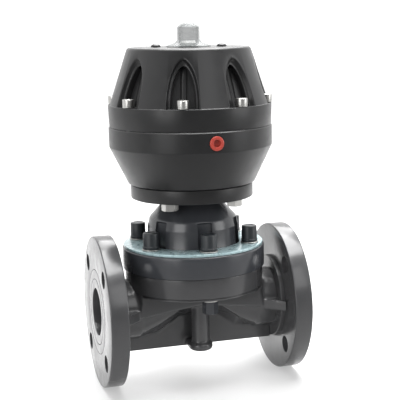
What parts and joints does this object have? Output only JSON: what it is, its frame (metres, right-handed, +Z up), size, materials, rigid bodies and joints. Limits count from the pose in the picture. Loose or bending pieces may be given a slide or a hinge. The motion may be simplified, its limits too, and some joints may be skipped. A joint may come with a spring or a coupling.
{
  "type": "diaphragm valve",
  "caption": "Flanged weir-type plastic diaphragm valve with a bell-shaped pneumatic actuator, spring closed, with a clear position indicator.",
  "frame": {"origin": "where the flow axis crosses the stem axis", "axes": "+X along the flow axis from inlet to outlet, +Z up along the stem to the actuator, -Y towards the side with the air port"},
  "size_m": [0.214, 0.1731, 0.3806],
  "materials": {
    "grey_pvc": "smooth moulded, semi-gloss",
    "dark_plastic": "smooth moulded, glossy",
    "black_plastic": "fine-grained, glass-filled",
    "cap_plastic": "soft satin",
    "coated_steel": "thin blue-grey coating",
    "stainless": "bright turned",
    "spring_steel": "drawn wire",
    "brass": "turned",
    "rubber": "moulded, dull",
    "red_plastic": "smooth moulded",
    "clear_plastic": "clear moulded",
    "white_plastic": "smooth moulded"
  },
  "bodies": {
    "valve": {"valve_body": "grey_pvc", "inlet_flange": "grey_pvc", "outlet_flange": "grey_pvc", "valve_diaphragm": "rubber", "actuator_diaphragm": "rubber", "stem_seal": "rubber", "actuator_seal": "rubber", "cap_seal": "rubber", "bonnet": "dark_plastic", "body_nut_1": "dark_plastic", "body_nut_2": "dark_plastic", "clamp_plate": "coated_steel", "stem_bush": "brass", "actuator_base": "black_plastic", "lower_housing": "black_plastic", "upper_housing": "black_plastic", "port_plug": "red_plastic", "indicator_cap": "clear_plastic", "outer_spring": "spring_steel", "inner_spring": "spring_steel", "foot_insert_1": "brass", "foot_insert_2": "brass", "body_bolt_1": "stainless", "body_bolt_2": "stainless", "body_bolt_3": "stainless", "body_bolt_4": "stainless", "body_bolt_5": "stainless", "body_bolt_6": "stainless", "nut_washer_1": "stainless", "nut_washer_2": "stainless", "base_bolt_1": "stainless", "base_bolt_2": "stainless", "base_bolt_3": "stainless", "base_bolt_4": "stainless", "housing_screw_1": "stainless", "housing_screw_2": "stainless", "housing_screw_3": "stainless", "housing_screw_4": "stainless", "housing_screw_5": "stainless", "housing_screw_6": "stainless", "housing_screw_7": "stainless", "housing_screw_8": "stainless", "bolt_cap_1": "cap_plastic", "bolt_cap_2": "cap_plastic", "bolt_cap_3": "cap_plastic", "bolt_cap_4": "cap_plastic", "bolt_cap_5": "cap_plastic", "bolt_cap_6": "cap_plastic", "top_plug_1": "black_plastic", "top_plug_2": "black_plastic"},
    "stem_set": {"stem": "stainless", "compressor": "grey_pvc", "diaphragm_disc": "dark_plastic", "stem_nut": "stainless", "indicator_rod": "white_plastic"}
  },
  "joints": [
    {"name": "stem_lift", "type": "slide", "parent": "valve", "child": "stem_set", "axis": [0, 0, 1], "range_m": [0, 0.016], "stiffness_N_per_m": 8000, "springref_m": -0.006, "deforming": ["valve_diaphragm", "actuator_diaphragm", "outer_spring", "inner_spring"]}
  ]
}
